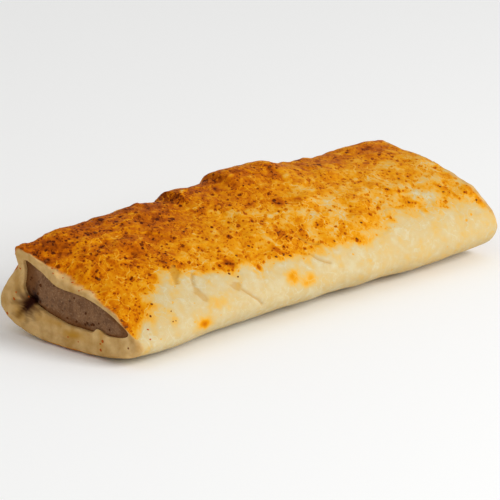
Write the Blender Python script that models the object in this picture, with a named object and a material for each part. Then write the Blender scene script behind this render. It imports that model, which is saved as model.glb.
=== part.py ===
"""A baked sausage roll: a puff pastry crust wrapped round sausage meat, cut off square at both ends.

Frame: the origin is the middle of the base, on the surface that the roll stands on. +X runs along the
roll, +Y points to the side with the high ridge, and +Z is up. All sizes are in metres.
Run with: blender --background --python part.py
"""

import math
from dataclasses import dataclass

import bmesh
import bpy

# Driving dimensions
ROLL_LENGTH = 0.154
LIP_ROUNDING = 0.0011
FILLING_GAP = 0.0005
FILLING_RECESS = 0.0018
PUFF_FOOT = 0.009
PUFF_FADE = 0.007

# How finely the lofts are cut: points round a section, and sections along the roll
POINTS_AROUND = 48
CRUST_STEPS = 44
FILLING_STEPS = 22
LIP_STEPS = 3

COLLECTION_NAME = "sausage_roll"


@dataclass(frozen=True)
class Section:
    """One cross-section, drawn as four superellipse quarters that meet at its widest points.

    along is the share of the roll's length from the -X end. front and back are how far it reaches to -Y
    and +Y, base and top are its lowest and highest Z, and ridge is the Y of its highest point. The waists
    are the heights of its widest points. Each remaining value is a quarter's exponent: 2 is an ellipse,
    more is boxier, 1 is a straight slope and less is hollow.
    """

    along: float
    front: float
    back: float
    base: float
    top: float
    ridge: float
    waist_front: float
    waist_back: float
    slope_front: float
    slope_back: float
    heel_front: float
    heel_back: float


@dataclass(frozen=True)
class Puff:
    """A swelling of the upper crust, or a hollow where rise is negative, with its place and its spread."""

    x: float
    y: float
    rise: float
    spread_x: float
    spread_y: float


CRUST_SECTIONS = (
    Section(0.00, -0.0284, 0.0290, 0.0003, 0.0262, 0.0209, 0.0066, 0.0100, 1.31, 0.72, 2.2, 2.4),
    Section(0.07, -0.0286, 0.0284, -0.0003, 0.0276, 0.0194, 0.0070, 0.0100, 1.50, 1.80, 2.5, 2.5),
    Section(0.35, -0.0281, 0.0279, -0.0004, 0.0286, 0.0169, 0.0095, 0.0100, 1.72, 2.40, 2.3, 2.5),
    Section(0.60, -0.0280, 0.0279, -0.0004, 0.0301, 0.0154, 0.0095, 0.0100, 1.78, 2.40, 2.3, 2.5),
    Section(0.80, -0.0289, 0.0276, -0.0004, 0.0289, 0.0154, 0.0094, 0.0100, 1.82, 2.40, 2.5, 2.5),
    Section(1.00, -0.0290, 0.0269, -0.0002, 0.0273, 0.0159, 0.0104, 0.0100, 1.90, 2.40, 2.2, 2.5),
)

FILLING_SECTIONS = (
    Section(0.00, -0.0240, 0.0176, 0.0080, 0.0224, 0.0162, 0.0100, 0.0150, 1.18, 2.0, 3.0, 1.6),
    Section(0.10, -0.0231, 0.0194, 0.0075, 0.0232, 0.0149, 0.0105, 0.0140, 1.55, 2.2, 2.6, 2.0),
    Section(0.40, -0.0221, 0.0209, 0.0070, 0.0240, 0.0124, 0.0115, 0.0125, 1.75, 2.2, 2.4, 2.2),
    Section(1.00, -0.0226, 0.0204, 0.0070, 0.0232, 0.0124, 0.0115, 0.0125, 1.75, 2.2, 2.4, 2.2),
)

PUFFS = (
    Puff(-0.077, 0.004, -0.0016, 0.008, 0.009),
    Puff(-0.058, 0.018, 0.0008, 0.010, 0.012),
    Puff(-0.031, 0.017, 0.0010, 0.007, 0.012),
    Puff(-0.012, 0.018, 0.0014, 0.006, 0.010),
    Puff(0.005, 0.018, 0.0032, 0.009, 0.012),
    Puff(0.021, 0.017, 0.0025, 0.009, 0.014),
    Puff(0.070, 0.020, 0.0014, 0.009, 0.008),
    Puff(0.075, 0.012, -0.0010, 0.005, 0.005),
)


def smooth_between(sections, name, along):
    """The named size at a share of the length, on a smooth curve through the sections' own values."""
    spans = [after.along - before.along for before, after in zip(sections, sections[1:])]
    values = [getattr(section, name) for section in sections]
    rates = [(after - before) / span for before, after, span in zip(values, values[1:], spans)]
    inner = [(p + q) / 2 if p * q > 0 else 0.0 for p, q in zip(rates, rates[1:])]
    slopes = [rates[0]] + inner + [rates[-1]]
    i = max(k for k in range(len(spans)) if k == 0 or sections[k].along <= along)
    t = (along - sections[i].along) / spans[i]
    ease = t * t * (3 - 2 * t)
    bend = t * (1 - t) ** 2 * slopes[i] - t * t * (1 - t) * slopes[i + 1]
    return values[i] + (values[i + 1] - values[i]) * ease + bend * spans[i]


def section_at(sections, along, grow=0.0):
    """The section at a share of the length, grown outward all round by grow."""
    names = [name for name in Section.__dataclass_fields__ if name != "along"]
    sizes = {name: smooth_between(sections, name, along) for name in names}
    sizes["front"] -= grow
    sizes["back"] += grow
    sizes["base"] -= grow
    sizes["top"] += grow
    return Section(along=along, **sizes)


def outline(section):
    """The section's closed outline as (y, z) points: from the back waist over the ridge and round below.

    What would reach lower than the surface that the roll stands on lies flat on it.
    """
    heel = (section.front + section.back) / 2
    points = []
    for k in range(POINTS_AROUND):
        turn = 2 * math.pi * k / POINTS_AROUND
        across, up = math.cos(turn), math.sin(turn)
        is_front, is_upper = across < 0, k <= POINTS_AROUND / 2
        reach = section.front if is_front else section.back
        waist = section.waist_front if is_front else section.waist_back
        if is_upper:
            bulge = section.slope_front if is_front else section.slope_back
            middle, limit = section.ridge, section.top
        else:
            bulge = section.heel_front if is_front else section.heel_back
            middle, limit = heel, section.base
        y = middle + (reach - middle) * abs(across) ** (2 / bulge)
        z = waist + (limit - waist) * abs(up) ** (2 / bulge)
        points.append((y, max(0.0, z)))
    return points


def puffed(x, y, z):
    """The height z with every puff added, from nothing at the puffs' foot to the full rise near the top."""
    share = max(0.0, min(1.0, (z - PUFF_FOOT) / PUFF_FADE))
    rise = sum(
        puff.rise * math.exp(-(((x - puff.x) / puff.spread_x) ** 2) - ((y - puff.y) / puff.spread_y) ** 2)
        for puff in PUFFS
    )
    return z + rise * share


def ring(sections, along, grow):
    """One ring of points round the roll at a share of its length, grown outward by grow."""
    x = (along - 0.5) * ROLL_LENGTH
    return [(x, y, puffed(x, y, z)) for y, z in outline(section_at(sections, along, grow))]


def outer_skin():
    """The crust's rings from one cut end to the other, with its edge rounded over at both."""
    rounding = LIP_ROUNDING / ROLL_LENGTH
    turns = [math.pi / 2 * k / LIP_STEPS for k in range(LIP_STEPS)]
    near = [(rounding * (1 - math.cos(turn)), -LIP_ROUNDING * (1 - math.sin(turn))) for turn in turns]
    body = [(rounding + (1 - 2 * rounding) * k / CRUST_STEPS, 0.0) for k in range(CRUST_STEPS + 1)]
    far = [(1 - along, grow) for along, grow in reversed(near)]
    return [ring(CRUST_SECTIONS, along, grow) for along, grow in near + body + far]


def filling_rings(recess=0.0, grow=0.0):
    """The filling's rings, with the first and the last set back into the roll by recess."""
    ends = recess / ROLL_LENGTH
    shares = [min(max(k / FILLING_STEPS, ends), 1 - ends) for k in range(FILLING_STEPS + 1)]
    return [ring(FILLING_SECTIONS, along, grow) for along in shares]


def loft(name, rings, closed):
    """A mesh object skinned over equal rings, closed into a tube's wall or capped at both ends."""
    mesh = bmesh.new()
    rows = [[mesh.verts.new(point) for point in ring] for ring in rings]
    pairs = list(zip(rows, rows[1:] + rows[:1])) if closed else list(zip(rows, rows[1:]))
    for near, far in pairs:
        for k in range(POINTS_AROUND):
            following = (k + 1) % POINTS_AROUND
            mesh.faces.new((near[k], near[following], far[following], far[k]))
    if not closed:
        mesh.faces.new(rows[0])
        mesh.faces.new(list(reversed(rows[-1])))
    bmesh.ops.triangulate(mesh, faces=[face for face in mesh.faces if len(face.verts) > 4])
    bmesh.ops.recalc_face_normals(mesh, faces=mesh.faces)
    data = bpy.data.meshes.new(name)
    mesh.to_mesh(data)
    mesh.free()
    data.shade_smooth()
    return bpy.data.objects.new(name, data)


def finish(name, colour, roughness):
    """A Principled material of one colour."""
    material = bpy.data.materials.new(name)
    material.use_nodes = True
    shader = material.node_tree.nodes["Principled BSDF"]
    shader.inputs["Base Color"].default_value = (*colour, 1.0)
    shader.inputs["Roughness"].default_value = roughness
    shader.inputs["Metallic"].default_value = 0.0
    return material


def make_crust():
    """The pastry: its outer skin and the bore that the filling lies in, as one tube with thick walls."""
    bore = filling_rings(grow=FILLING_GAP)
    crust = loft("pastry_crust", outer_skin() + bore[::-1], closed=True)
    crust.data.materials.append(finish("baked_puff_pastry", (0.71, 0.38, 0.09), 0.55))
    return crust


def make_filling():
    """The sausage meat, which runs through the crust and stops a little inside both cut ends."""
    filling = loft("sausage_filling", filling_rings(recess=FILLING_RECESS), closed=False)
    filling.data.materials.append(finish("cooked_sausage_meat", (0.17, 0.09, 0.05), 0.6))
    return filling


def main():
    """Clears the scene and builds the roll's two pieces."""
    for old in list(bpy.data.objects):
        bpy.data.objects.remove(old)
    collection = bpy.data.collections.new(COLLECTION_NAME)
    bpy.context.scene.collection.children.link(collection)
    for piece in (make_crust(), make_filling()):
        collection.objects.link(piece)


main()
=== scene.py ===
"""The looks of a baked sausage roll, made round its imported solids: crust, meat, specks, studio and camera.

Frame: +X runs along the roll from its near cut end, the cook's side is -Y, and +Z is up. Sizes in this
file are millimetres unless a name says otherwise, and meshes are made in metres.
"""

import itertools
import logging
import math
from dataclasses import dataclass, field
from enum import Enum
from typing import Sequence

import bpy
import numpy as np
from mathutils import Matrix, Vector
from mathutils.bvhtree import BVHTree


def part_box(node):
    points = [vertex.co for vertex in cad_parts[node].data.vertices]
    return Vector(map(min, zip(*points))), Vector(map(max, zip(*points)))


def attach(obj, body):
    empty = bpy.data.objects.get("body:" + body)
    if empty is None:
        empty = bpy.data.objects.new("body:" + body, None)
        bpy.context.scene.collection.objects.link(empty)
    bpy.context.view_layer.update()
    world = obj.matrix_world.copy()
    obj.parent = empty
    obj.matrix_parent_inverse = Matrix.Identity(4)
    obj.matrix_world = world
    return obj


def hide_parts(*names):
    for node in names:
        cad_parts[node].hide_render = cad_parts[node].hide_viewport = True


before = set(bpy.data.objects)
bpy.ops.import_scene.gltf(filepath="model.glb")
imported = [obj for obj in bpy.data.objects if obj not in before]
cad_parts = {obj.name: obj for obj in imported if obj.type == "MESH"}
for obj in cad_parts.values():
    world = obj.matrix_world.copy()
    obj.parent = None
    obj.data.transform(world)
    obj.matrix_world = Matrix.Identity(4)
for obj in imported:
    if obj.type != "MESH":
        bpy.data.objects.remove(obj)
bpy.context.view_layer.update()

MM = 0.001
BODY = "root"
CRUST_NODE = "pastry_crust"
MEAT_NODE = "sausage_filling"
PASTRY_SLOT = "baked_pastry"
MEAT_SLOT = "sausage_meat"

log = logging.getLogger("sausage_roll")


# ---------------------------------------------------------------------------------------------------------
# Arithmetic on surfaces


def ease(low: float, high: float, value: np.ndarray) -> np.ndarray:
    """A smooth step.

    Args:
        low: where the step starts, at 0.
        high: where it ends, at 1. It may be lower than low, for a step down.
        value: what is stepped.

    Returns:
        Numbers from 0 to 1, as many as value has.
    """
    share = np.clip((value - low) / (high - low), 0.0, 1.0)
    return share * share * (3.0 - 2.0 * share)


def hump(distance: np.ndarray, radius: float) -> np.ndarray:
    """A soft hump: 1 at no distance, falling as a bell curve whose half width is about the radius."""
    return np.exp(-((distance / radius) ** 2))


def blurred(values: np.ndarray, reach: float, axis: int, closed: bool) -> np.ndarray:
    """Values averaged with their neighbours along one axis.

    Args:
        values: a grid of numbers.
        reach: the bell curve's standard deviation, in grid steps.
        axis: the axis to blur along.
        closed: whether the last value is followed by the first, as on a ring.

    Returns:
        The blurred grid.
    """
    half = int(math.ceil(reach * 3))
    weights = np.exp(-0.5 * (np.arange(-half, half + 1) / reach) ** 2)
    weights /= weights.sum()
    padding = [(0, 0)] * values.ndim
    padding[axis] = (half, half)
    padded = np.pad(values, padding, mode="wrap" if closed else "edge")
    count = values.shape[axis]
    total = np.zeros_like(values)
    for shift, weight in enumerate(weights):
        total += weight * np.take(padded, range(shift, shift + count), axis=axis)
    return total


def distance_to_path(x: np.ndarray, y: np.ndarray, path: Sequence[tuple[float, float]]) -> np.ndarray:
    """How far each place is from an open path of straight stretches.

    Args:
        x: the places' first coordinate.
        y: their second one.
        path: the corners of the path.

    Returns:
        The distances.
    """
    nearest = np.full(x.shape, np.inf)
    for (ax, ay), (bx, by) in zip(path, path[1:]):
        length = (bx - ax) ** 2 + (by - ay) ** 2
        share = np.clip(((x - ax) * (bx - ax) + (y - ay) * (by - ay)) / length, 0.0, 1.0)
        gap = np.hypot(x - ax - share * (bx - ax), y - ay - share * (by - ay))
        nearest = np.minimum(nearest, gap)
    return nearest


def inside_outline(x: np.ndarray, y: np.ndarray, outline: Sequence[tuple[float, float]]) -> np.ndarray:
    """Which places lie inside a closed outline, by counting the edges crossed on the way out.

    Args:
        x: how far along each point is.
        y: how far down the skin each point is.
        outline: the closed outline's corners.

    Returns:
        True for the points inside it.
    """
    inside = np.zeros(x.shape, dtype=bool)
    for (ax, ay), (bx, by) in zip(outline, list(outline[1:]) + [outline[0]]):
        spans = (ay > y) != (by > y)
        crossing = ax + (y - ay) * (bx - ax) / ((by - ay) or 1e-9)
        inside ^= spans & (x < crossing)
    return inside


class SolidNoise:
    """Smooth random bumps through space, from about -1 to 1, and the same on every run."""

    def __init__(self, seed: int) -> None:
        """Draws the random slopes that the bumps are made of.

        Args:
            seed: what the bumps are drawn from.
        """
        rng = np.random.default_rng(seed)
        self.order = rng.permutation(256)
        slopes = rng.normal(size=(256, 3))
        self.slopes = slopes / np.linalg.norm(slopes, axis=1, keepdims=True)

    def __call__(self, points: np.ndarray, size: float) -> np.ndarray:
        """The bumps' height at some points.

        Args:
            points: an array whose last axis is x, y, z.
            size: the bumps' size.

        Returns:
            The heights, in the shape of points without its last axis.
        """
        place = points / size
        cell = np.floor(place).astype(int)
        rest = place - cell
        fade = rest**3 * (rest * (rest * 6.0 - 15.0) + 10.0)
        total = np.zeros(points.shape[:-1])
        for corner in np.ndindex(2, 2, 2):
            index = np.zeros(points.shape[:-1], dtype=int)
            weight = np.ones(points.shape[:-1])
            for axis, step in enumerate(corner):
                index = self.order[(index + cell[..., axis] + step) & 255]
                weight = weight * (fade[..., axis] if step else 1.0 - fade[..., axis])
            total += weight * np.einsum("...k,...k->...", self.slopes[index], rest - np.array(corner))
        return total * 1.6

    def layered(self, points: np.ndarray, size: float, layers: int = 3) -> np.ndarray:
        """Bumps with smaller and lower bumps on them, each layer half the size and height of the last."""
        return sum(self(points + 31.7 * k, size / 2**k) / 2**k for k in range(layers)) / 1.5


@dataclass(frozen=True)
class Bumps:
    """Bumps of one size: which of the noises makes them, how high they are and how wide.

    shift moves the noise, so that it makes other bumps elsewhere, and layered puts finer bumps on them.
    """

    source: int
    height: float
    size: float
    shift: float = 0.0
    layered: bool = False

    def over(self, noise: Sequence[SolidNoise], points: np.ndarray) -> np.ndarray:
        """The bumps' heights at some points."""
        made = noise[self.source].layered if self.layered else noise[self.source]
        return self.height * made(points + self.shift, self.size)


def heaped(bumps: Sequence[Bumps], noise: Sequence[SolidNoise], points: np.ndarray) -> np.ndarray:
    """The heights of several sizes of bumps together."""
    return sum(kind.over(noise, points) for kind in bumps)


# ---------------------------------------------------------------------------------------------------------
# Finishes


def linear(code: str) -> tuple[float, float, float, float]:
    """A colour for a shader.

    Args:
        code: the colour as sRGB hex, such as "#dec592".

    Returns:
        Linear red, green and blue, and an alpha of 1.
    """
    parts = [int(code[k : k + 2], 16) / 255 for k in (1, 3, 5)]
    straight = [part / 12.92 if part <= 0.04045 else ((part + 0.055) / 1.055) ** 2.4 for part in parts]
    return (*straight, 1.0)


def add_node(tree: bpy.types.NodeTree, kind: str, inputs: dict | None = None, **settings) -> bpy.types.Node:
    """Adds one node.

    Args:
        tree: the material's node tree.
        kind: the node's type name, without the ShaderNode that all of them start with.
        inputs: what goes into its sockets, by name or number: a value, an output socket to link, or a node,
            whose first open output is linked.
        settings: the node's own properties.

    Returns:
        The new node.
    """
    node = tree.nodes.new("ShaderNode" + kind)
    for name, value in settings.items():
        setattr(node, name, value)
    for key, value in (inputs or {}).items():
        if isinstance(value, bpy.types.Node):
            value = next(socket for socket in value.outputs if socket.enabled)
        if isinstance(value, bpy.types.NodeSocket):
            tree.links.new(value, node.inputs[key])
        else:
            node.inputs[key].default_value = value
    return node


class Trait(str, Enum):
    """The numbers that a point of the crust or the meat carries for its finish."""

    BROWNING = "browning"
    SPECKLING = "speckling"
    DOUGH = "dough"
    TAN = "tan"
    SCORCH = "scorch"


@dataclass(frozen=True)
class Finish:
    """What every finish has: a name, and a way to start its node tree."""

    name: str

    def start(self) -> tuple[bpy.types.Material, bpy.types.NodeTree, bpy.types.Node]:
        """A new material with its node tree and its Principled shader."""
        material = bpy.data.materials.new(self.name)
        material.use_nodes = True
        tree = material.node_tree
        return material, tree, tree.nodes["Principled BSDF"]


@dataclass(frozen=True)
class Canvas:
    """What a pattern of the crust is drawn on, in a node tree.

    place is where a point is, egged is 1 where egg was brushed on, and speckling is how speckled it is.
    """

    tree: bpy.types.NodeTree
    place: bpy.types.Node | bpy.types.NodeSocket
    egged: bpy.types.Node
    speckling: bpy.types.NodeSocket

    def changed(self, browning: bpy.types.Node, change: bpy.types.Node, on_pale: float) -> bpy.types.Node:
        """Adds a change to the browning.

        Args:
            browning: the browning so far.
            change: what is added where egg was brushed on.
            on_pale: the share of it that is added elsewhere.

        Returns:
            The new browning.
        """
        strength = add_node(self.tree, "MapRange", {"Value": self.egged, "To Min": on_pale})
        return add_node(self.tree, "Math", {0: change, 1: strength, 2: browning}, operation="MULTIPLY_ADD")


@dataclass(frozen=True)
class Mottle:
    """Blotches of one size: where on the noise they start and are full, and how far they change the browning.

    on_pale is the share of the change that is left where no egg was brushed on.
    """

    size: float
    detail: float
    start: float
    full: float
    least: float
    most: float
    on_pale: float

    def over(self, canvas: Canvas, browning: bpy.types.Node) -> bpy.types.Node:
        """Adds the blotches.

        Args:
            canvas: what they are drawn on.
            browning: the browning so far.

        Returns:
            The new browning.
        """
        inputs = {"Vector": canvas.place, "Scale": 1 / (self.size * MM), "Detail": self.detail}
        noise = add_node(canvas.tree, "TexNoise", inputs)
        inputs = {"From Min": self.start, "From Max": self.full, "To Min": self.least, "To Max": self.most}
        change = add_node(canvas.tree, "MapRange", {"Value": noise, **inputs})
        return canvas.changed(browning, change, self.on_pale)


@dataclass(frozen=True)
class Veins:
    """Thin wandering lines where the top layer has cracked or folded, and how they change the browning.

    width is half a line's, on the noise that it follows. cover is where on a coarser noise the lines start
    to show and show in full. A line that lowers the browning is pale: the flake edge's own paler colour,
    with a painted highlight on it.
    """

    size: float
    width: float
    change: float
    seed: float
    on_pale: float
    cover: tuple[float, float] = (0.46, 0.54)

    def over(self, canvas: Canvas, browning: bpy.types.Node) -> bpy.types.Node:
        """Adds the lines.

        Args:
            canvas: what they are drawn on.
            browning: the browning so far.

        Returns:
            The new browning.
        """
        tree = canvas.tree
        inputs = {"Vector": canvas.place, "Scale": 1 / (self.size * MM), "W": self.seed, "Detail": 2.5}
        noise = add_node(tree, "TexNoise", inputs, noise_dimensions="4D")
        off = add_node(tree, "Math", {0: noise, 1: 0.5}, operation="SUBTRACT")
        gap = add_node(tree, "Math", {0: off}, operation="ABSOLUTE")
        inputs = {"Value": gap, "From Min": self.width, "From Max": 0.25 * self.width, "To Max": self.change}
        line = add_node(tree, "MapRange", inputs)
        inputs = {"Vector": canvas.place, "Scale": 0.5 / (self.size * MM), "Detail": 1.0}
        inputs["W"] = self.seed + 5.0
        noise = add_node(tree, "TexNoise", inputs, noise_dimensions="4D")
        inputs = {"Value": noise, "From Min": self.cover[0], "From Max": self.cover[1]}
        shown = add_node(tree, "MapRange", inputs)
        change = add_node(tree, "Math", {0: line, 1: shown}, operation="MULTIPLY")
        return canvas.changed(browning, change, self.on_pale)


@dataclass(frozen=True)
class Freckles:
    """Baked speckles of one size: how far apart they may lie, their largest radius, and how much they brown.

    share is how many of the possible ones there are where the speckling is full.
    """

    spacing: float
    radius: float
    strength: float
    share: float

    def over(self, canvas: Canvas, browning: bpy.types.Node) -> bpy.types.Node:
        """Adds the speckles.

        Args:
            canvas: what they are drawn on.
            browning: the browning so far.

        Returns:
            The new browning.
        """
        tree = canvas.tree
        cells = add_node(tree, "TexVoronoi", {"Vector": canvas.place, "Scale": 1 / (self.spacing * MM)})
        draw = add_node(tree, "SeparateColor", {"Color": cells.outputs["Color"]}).outputs
        largest = self.radius / self.spacing
        radius = add_node(tree, "MapRange", {"Value": draw[0], "To Min": 0.5 * largest, "To Max": largest})
        depth = add_node(tree, "Math", {0: radius, 1: cells}, operation="SUBTRACT")
        inputs = {"Value": depth, "From Max": 0.3 * largest, "To Max": self.strength}
        disc = add_node(tree, "MapRange", inputs)
        limit = add_node(tree, "Math", {0: canvas.speckling, 1: self.share}, operation="MULTIPLY")
        chosen = add_node(tree, "Math", {0: draw[1], 1: limit}, operation="LESS_THAN")
        return add_node(tree, "Math", {0: disc, 1: chosen, 2: browning}, operation="MULTIPLY_ADD")


@dataclass(frozen=True)
class BakedPuffPastry(Finish):
    """Puff pastry brushed with egg and baked: the eye sees a golden, freckled top with hardly any gloss.

    The same dough stays matt, pale and slightly translucent where no egg and little heat reached it. The
    patterns follow the dough's grain, which runs slantwise over the roll because the sheet was rolled out
    that way. Its pores are drawn at half a millimetre, coarser than the real ones, so that they show.
    """

    name: str = "egg_washed_baked_puff_pastry"
    ramp: tuple[tuple[float, str], ...] = (
        (0.00, "#cdbe96"),
        (0.10, "#cbb380"),
        (0.20, "#d3ad62"),
        (0.31, "#dca442"),
        (0.43, "#dc9410"),
        (0.56, "#d07d02"),
        (0.70, "#b85c00"),
        (0.84, "#8c3e00"),
        (1.00, "#541f00"),
    )
    dough_light: str = "#dab57a"
    dough_shade: str = "#b98f52"
    dough_cloud: float = 3.6
    tan: str = "#bb8830"
    scorch_brown: str = "#4d260b"
    scorch_black: str = "#2b0d04"
    charred_from: float = 0.86
    mottles: tuple[Mottle, ...] = (
        Mottle(4.0, 3.0, 0.34, 0.66, -0.10, 0.10, 0.35),
        Mottle(1.30, 3.0, 0.52, 0.62, 0.00, 0.10, 0.10),
        Mottle(1.60, 2.0, 0.46, 0.34, 0.00, -0.10, 0.35),
    )
    # The pale lines here are paler flake edges with a painted highlight on them.
    veins_and_highlights: tuple[Veins, ...] = (
        Veins(9.0, 0.0090, -0.20, 3.0, 0.45),
        Veins(5.5, 0.0110, -0.17, 17.0, 0.40),
        Veins(7.5, 0.0055, 0.16, 29.0, 0.10),
        Veins(4.4, 0.0120, -0.06, 41.0, 1.00),
    )
    freckles: tuple[Freckles, ...] = (
        Freckles(0.95, 0.38, 0.19, 0.90),
        Freckles(1.45, 0.54, 0.24, 0.90),
        Freckles(2.30, 0.78, 0.28, 0.80),
        Freckles(3.40, 0.95, 0.30, 0.50),
    )
    ragged: float = 0.6
    grain_turn: float = 44.0
    grain_stretch: float = 1.5
    pore_size: float = 0.5
    pore_depth: float = 0.16
    roughness: float = 0.55
    ior: float = 1.45
    gloss: float = 0.03
    translucent: float = 0.06

    def build(self) -> bpy.types.Material:
        """Makes the material.

        Returns:
            The material, which reads the crust's traits.
        """
        material, tree, shader = self.start()
        place = add_node(tree, "TexCoord").outputs["Object"]
        carried = {
            trait: add_node(tree, "Attribute", attribute_name=trait.value).outputs["Fac"] for trait in Trait
        }
        inputs = {"Value": carried[Trait.SPECKLING], "From Min": 0.02, "From Max": 0.3}
        egged = add_node(tree, "MapRange", inputs)
        turn = (0.0, 0.0, math.radians(self.grain_turn))
        inputs = {"Vector": place, "Rotation": turn, "Scale": (self.grain_stretch, 1.0, 1.0)}
        grain = add_node(tree, "Mapping", inputs, vector_type="TEXTURE")
        waver = add_node(tree, "TexNoise", {"Vector": grain, "Scale": 1 / (self.ragged * MM), "Detail": 1.0})
        inputs = {0: waver.outputs["Color"], 1: (self.ragged * MM,) * 3, 2: grain}
        ragged = add_node(tree, "VectorMath", inputs, operation="MULTIPLY_ADD")
        browning = carried[Trait.BROWNING]
        for where, patterns in ((grain, self.mottles), (place, self.veins_and_highlights), (ragged, self.freckles)):
            canvas = Canvas(tree, where, egged, carried[Trait.SPECKLING])
            for pattern in patterns:
                browning = pattern.over(canvas, browning)
        tree.links.new(self._colour(tree, place, browning, carried), shader.inputs["Base Color"])
        settings = {
            "Roughness": self.roughness,
            "IOR": self.ior,
            "Specular IOR Level": self.gloss,
            "Subsurface Weight": self.translucent,
            "Subsurface Radius": (1.0, 0.5, 0.15),
            "Subsurface Scale": 1.0 * MM,
        }
        for name, value in settings.items():
            shader.inputs[name].default_value = value

        pores = add_node(tree, "TexNoise", {"Vector": place, "Scale": 1 / (self.pore_size * MM)})
        height = add_node(tree, "Math", {0: browning, 1: -0.9, 2: pores}, operation="MULTIPLY_ADD")
        bump = add_node(tree, "Bump", {"Height": height, "Strength": 0.5, "Distance": self.pore_depth * MM})
        tree.links.new(bump.outputs["Normal"], shader.inputs["Normal"])
        return material

    def _colour(
        self, tree: bpy.types.NodeTree, place: bpy.types.NodeSocket, browning: bpy.types.Node,
        carried: dict[Trait, bpy.types.NodeSocket],
    ) -> bpy.types.NodeSocket:
        """Turns the browning to colour, then lays bare dough, tan scars and scorching over it.

        Args:
            tree: the material's node tree.
            place: where the point is.
            browning: the whole browning.
            carried: the traits.

        Returns:
            The colour.
        """
        ramp = add_node(tree, "ValToRGB", {"Fac": browning})
        stops = ramp.color_ramp.elements
        for k, (position, code) in enumerate(self.ramp):
            stop = stops[k] if k < 2 else stops.new(position)
            stop.position = position
            stop.color = linear(code)
        inputs = {"Vector": place, "Scale": 1 / (self.dough_cloud * MM), "Detail": 4.0}
        noise = add_node(tree, "TexNoise", inputs)
        cloud = add_node(tree, "MapRange", {"Value": noise, "From Min": 0.32, "From Max": 0.68})
        inputs = {"Factor": cloud, "A": linear(self.dough_shade), "B": linear(self.dough_light)}
        dough = add_node(tree, "Mix", inputs, data_type="RGBA")
        charred = add_node(tree, "MapRange", {"Value": carried[Trait.SCORCH], "From Min": self.charred_from})
        inputs = {"Factor": charred, "A": linear(self.scorch_brown), "B": linear(self.scorch_black)}
        scorch = add_node(tree, "Mix", inputs, data_type="RGBA")
        colour = ramp
        for trait, over in ((Trait.DOUGH, dough), (Trait.TAN, linear(self.tan)), (Trait.SCORCH, scorch)):
            inputs = {"Factor": carried[trait], "A": colour, "B": over}
            colour = add_node(tree, "Mix", inputs, data_type="RGBA")
        return colour.outputs["Result"]


@dataclass(frozen=True)
class CookedSausageMeat(Finish):
    """Minced pork cooked through: the eye sees a dull grey-brown, fine-grained and barely moist face.

    The mince is a little paler with fat and darker with lean in spots of about half a millimetre, and it
    carries a rusty stain of juice along its lower edge.
    """

    name: str = "cooked_sausage_meat"
    meat: str = "#87603f"
    darker: str = "#674328"
    fat: str = "#a98562"
    rusty: str = "#6c3f14"
    burnt: str = "#220a04"
    grain_size: float = 0.55
    grain_depth: float = 0.25
    cloud_size: float = 3.6
    pit_spacing: float = 2.6
    roughness: float = 0.6
    ior: float = 1.42
    gloss: float = 0.2

    def build(self) -> bpy.types.Material:
        """Makes the material.

        Returns:
            The material, which reads the tan and scorch traits.
        """
        material, tree, shader = self.start()
        place = add_node(tree, "TexCoord").outputs["Object"]
        tan = add_node(tree, "Attribute", attribute_name=Trait.TAN.value).outputs["Fac"]
        scorch = add_node(tree, "Attribute", attribute_name=Trait.SCORCH.value).outputs["Fac"]
        grain, cloud = (
            add_node(tree, "TexNoise", {"Vector": place, "Scale": 1 / (size * MM), "Detail": detail})
            for size, detail in ((self.grain_size, 3.0), (self.cloud_size, 2.0))
        )
        pits = add_node(tree, "TexVoronoi", {"Vector": place, "Scale": 1 / (self.pit_spacing * MM)})
        spots = (
            (cloud, 0.38, 0.68, 0.80, self.darker),
            (grain, 0.54, 0.74, 0.70, self.fat),
            (grain, 0.44, 0.28, 0.80, self.darker),
            (pits, 0.20, 0.08, 0.55, self.burnt),
        )
        layers = []
        for pattern, start, full, strength, code in spots:
            inputs = {"Value": pattern, "From Min": start, "From Max": full, "To Max": strength}
            layers.append((add_node(tree, "MapRange", inputs), code))
        colour = linear(self.meat)
        for factor, code in (*layers, (tan, self.rusty), (scorch, self.burnt)):
            inputs = {"Factor": factor, "A": colour, "B": linear(code)}
            colour = add_node(tree, "Mix", inputs, data_type="RGBA")
        tree.links.new(colour.outputs["Result"], shader.inputs["Base Color"])
        shader.inputs["Roughness"].default_value = self.roughness
        shader.inputs["IOR"].default_value = self.ior
        shader.inputs["Specular IOR Level"].default_value = self.gloss
        bump = add_node(tree, "Bump", {"Height": grain, "Strength": 0.6, "Distance": self.grain_depth * MM})
        tree.links.new(bump.outputs["Normal"], shader.inputs["Normal"])
        return material


@dataclass(frozen=True)
class BakedCrumb(Finish):
    """Crumbs and pepper baked hard: the eye sees dull specks of one colour, a little lighter in places."""

    colour: str
    lighter: str
    cloud_size: float = 0.9
    roughness: float = 0.75
    gloss: float = 0.1

    def build(self) -> bpy.types.Material:
        """Makes the material.

        Returns:
            The material.
        """
        material, tree, shader = self.start()
        place = add_node(tree, "TexCoord").outputs["Object"]
        tone = add_node(tree, "TexNoise", {"Vector": place, "Scale": 1 / (self.cloud_size * MM)})
        inputs = {"Factor": tone, "A": linear(self.colour), "B": linear(self.lighter)}
        mix = add_node(tree, "Mix", inputs, data_type="RGBA")
        tree.links.new(mix.outputs["Result"], shader.inputs["Base Color"])
        shader.inputs["Roughness"].default_value = self.roughness
        shader.inputs["Specular IOR Level"].default_value = self.gloss
        return material


# ---------------------------------------------------------------------------------------------------------
# The form, as the frame has it


def surface_tree(mesh: bpy.types.Mesh) -> BVHTree:
    """A mesh's surface in millimetres, ready for rays and for the nearest point on it."""
    corners = [vertex.co / MM for vertex in mesh.vertices]
    return BVHTree.FromPolygons(corners, [tuple(face.vertices) for face in mesh.polygons])


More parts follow.
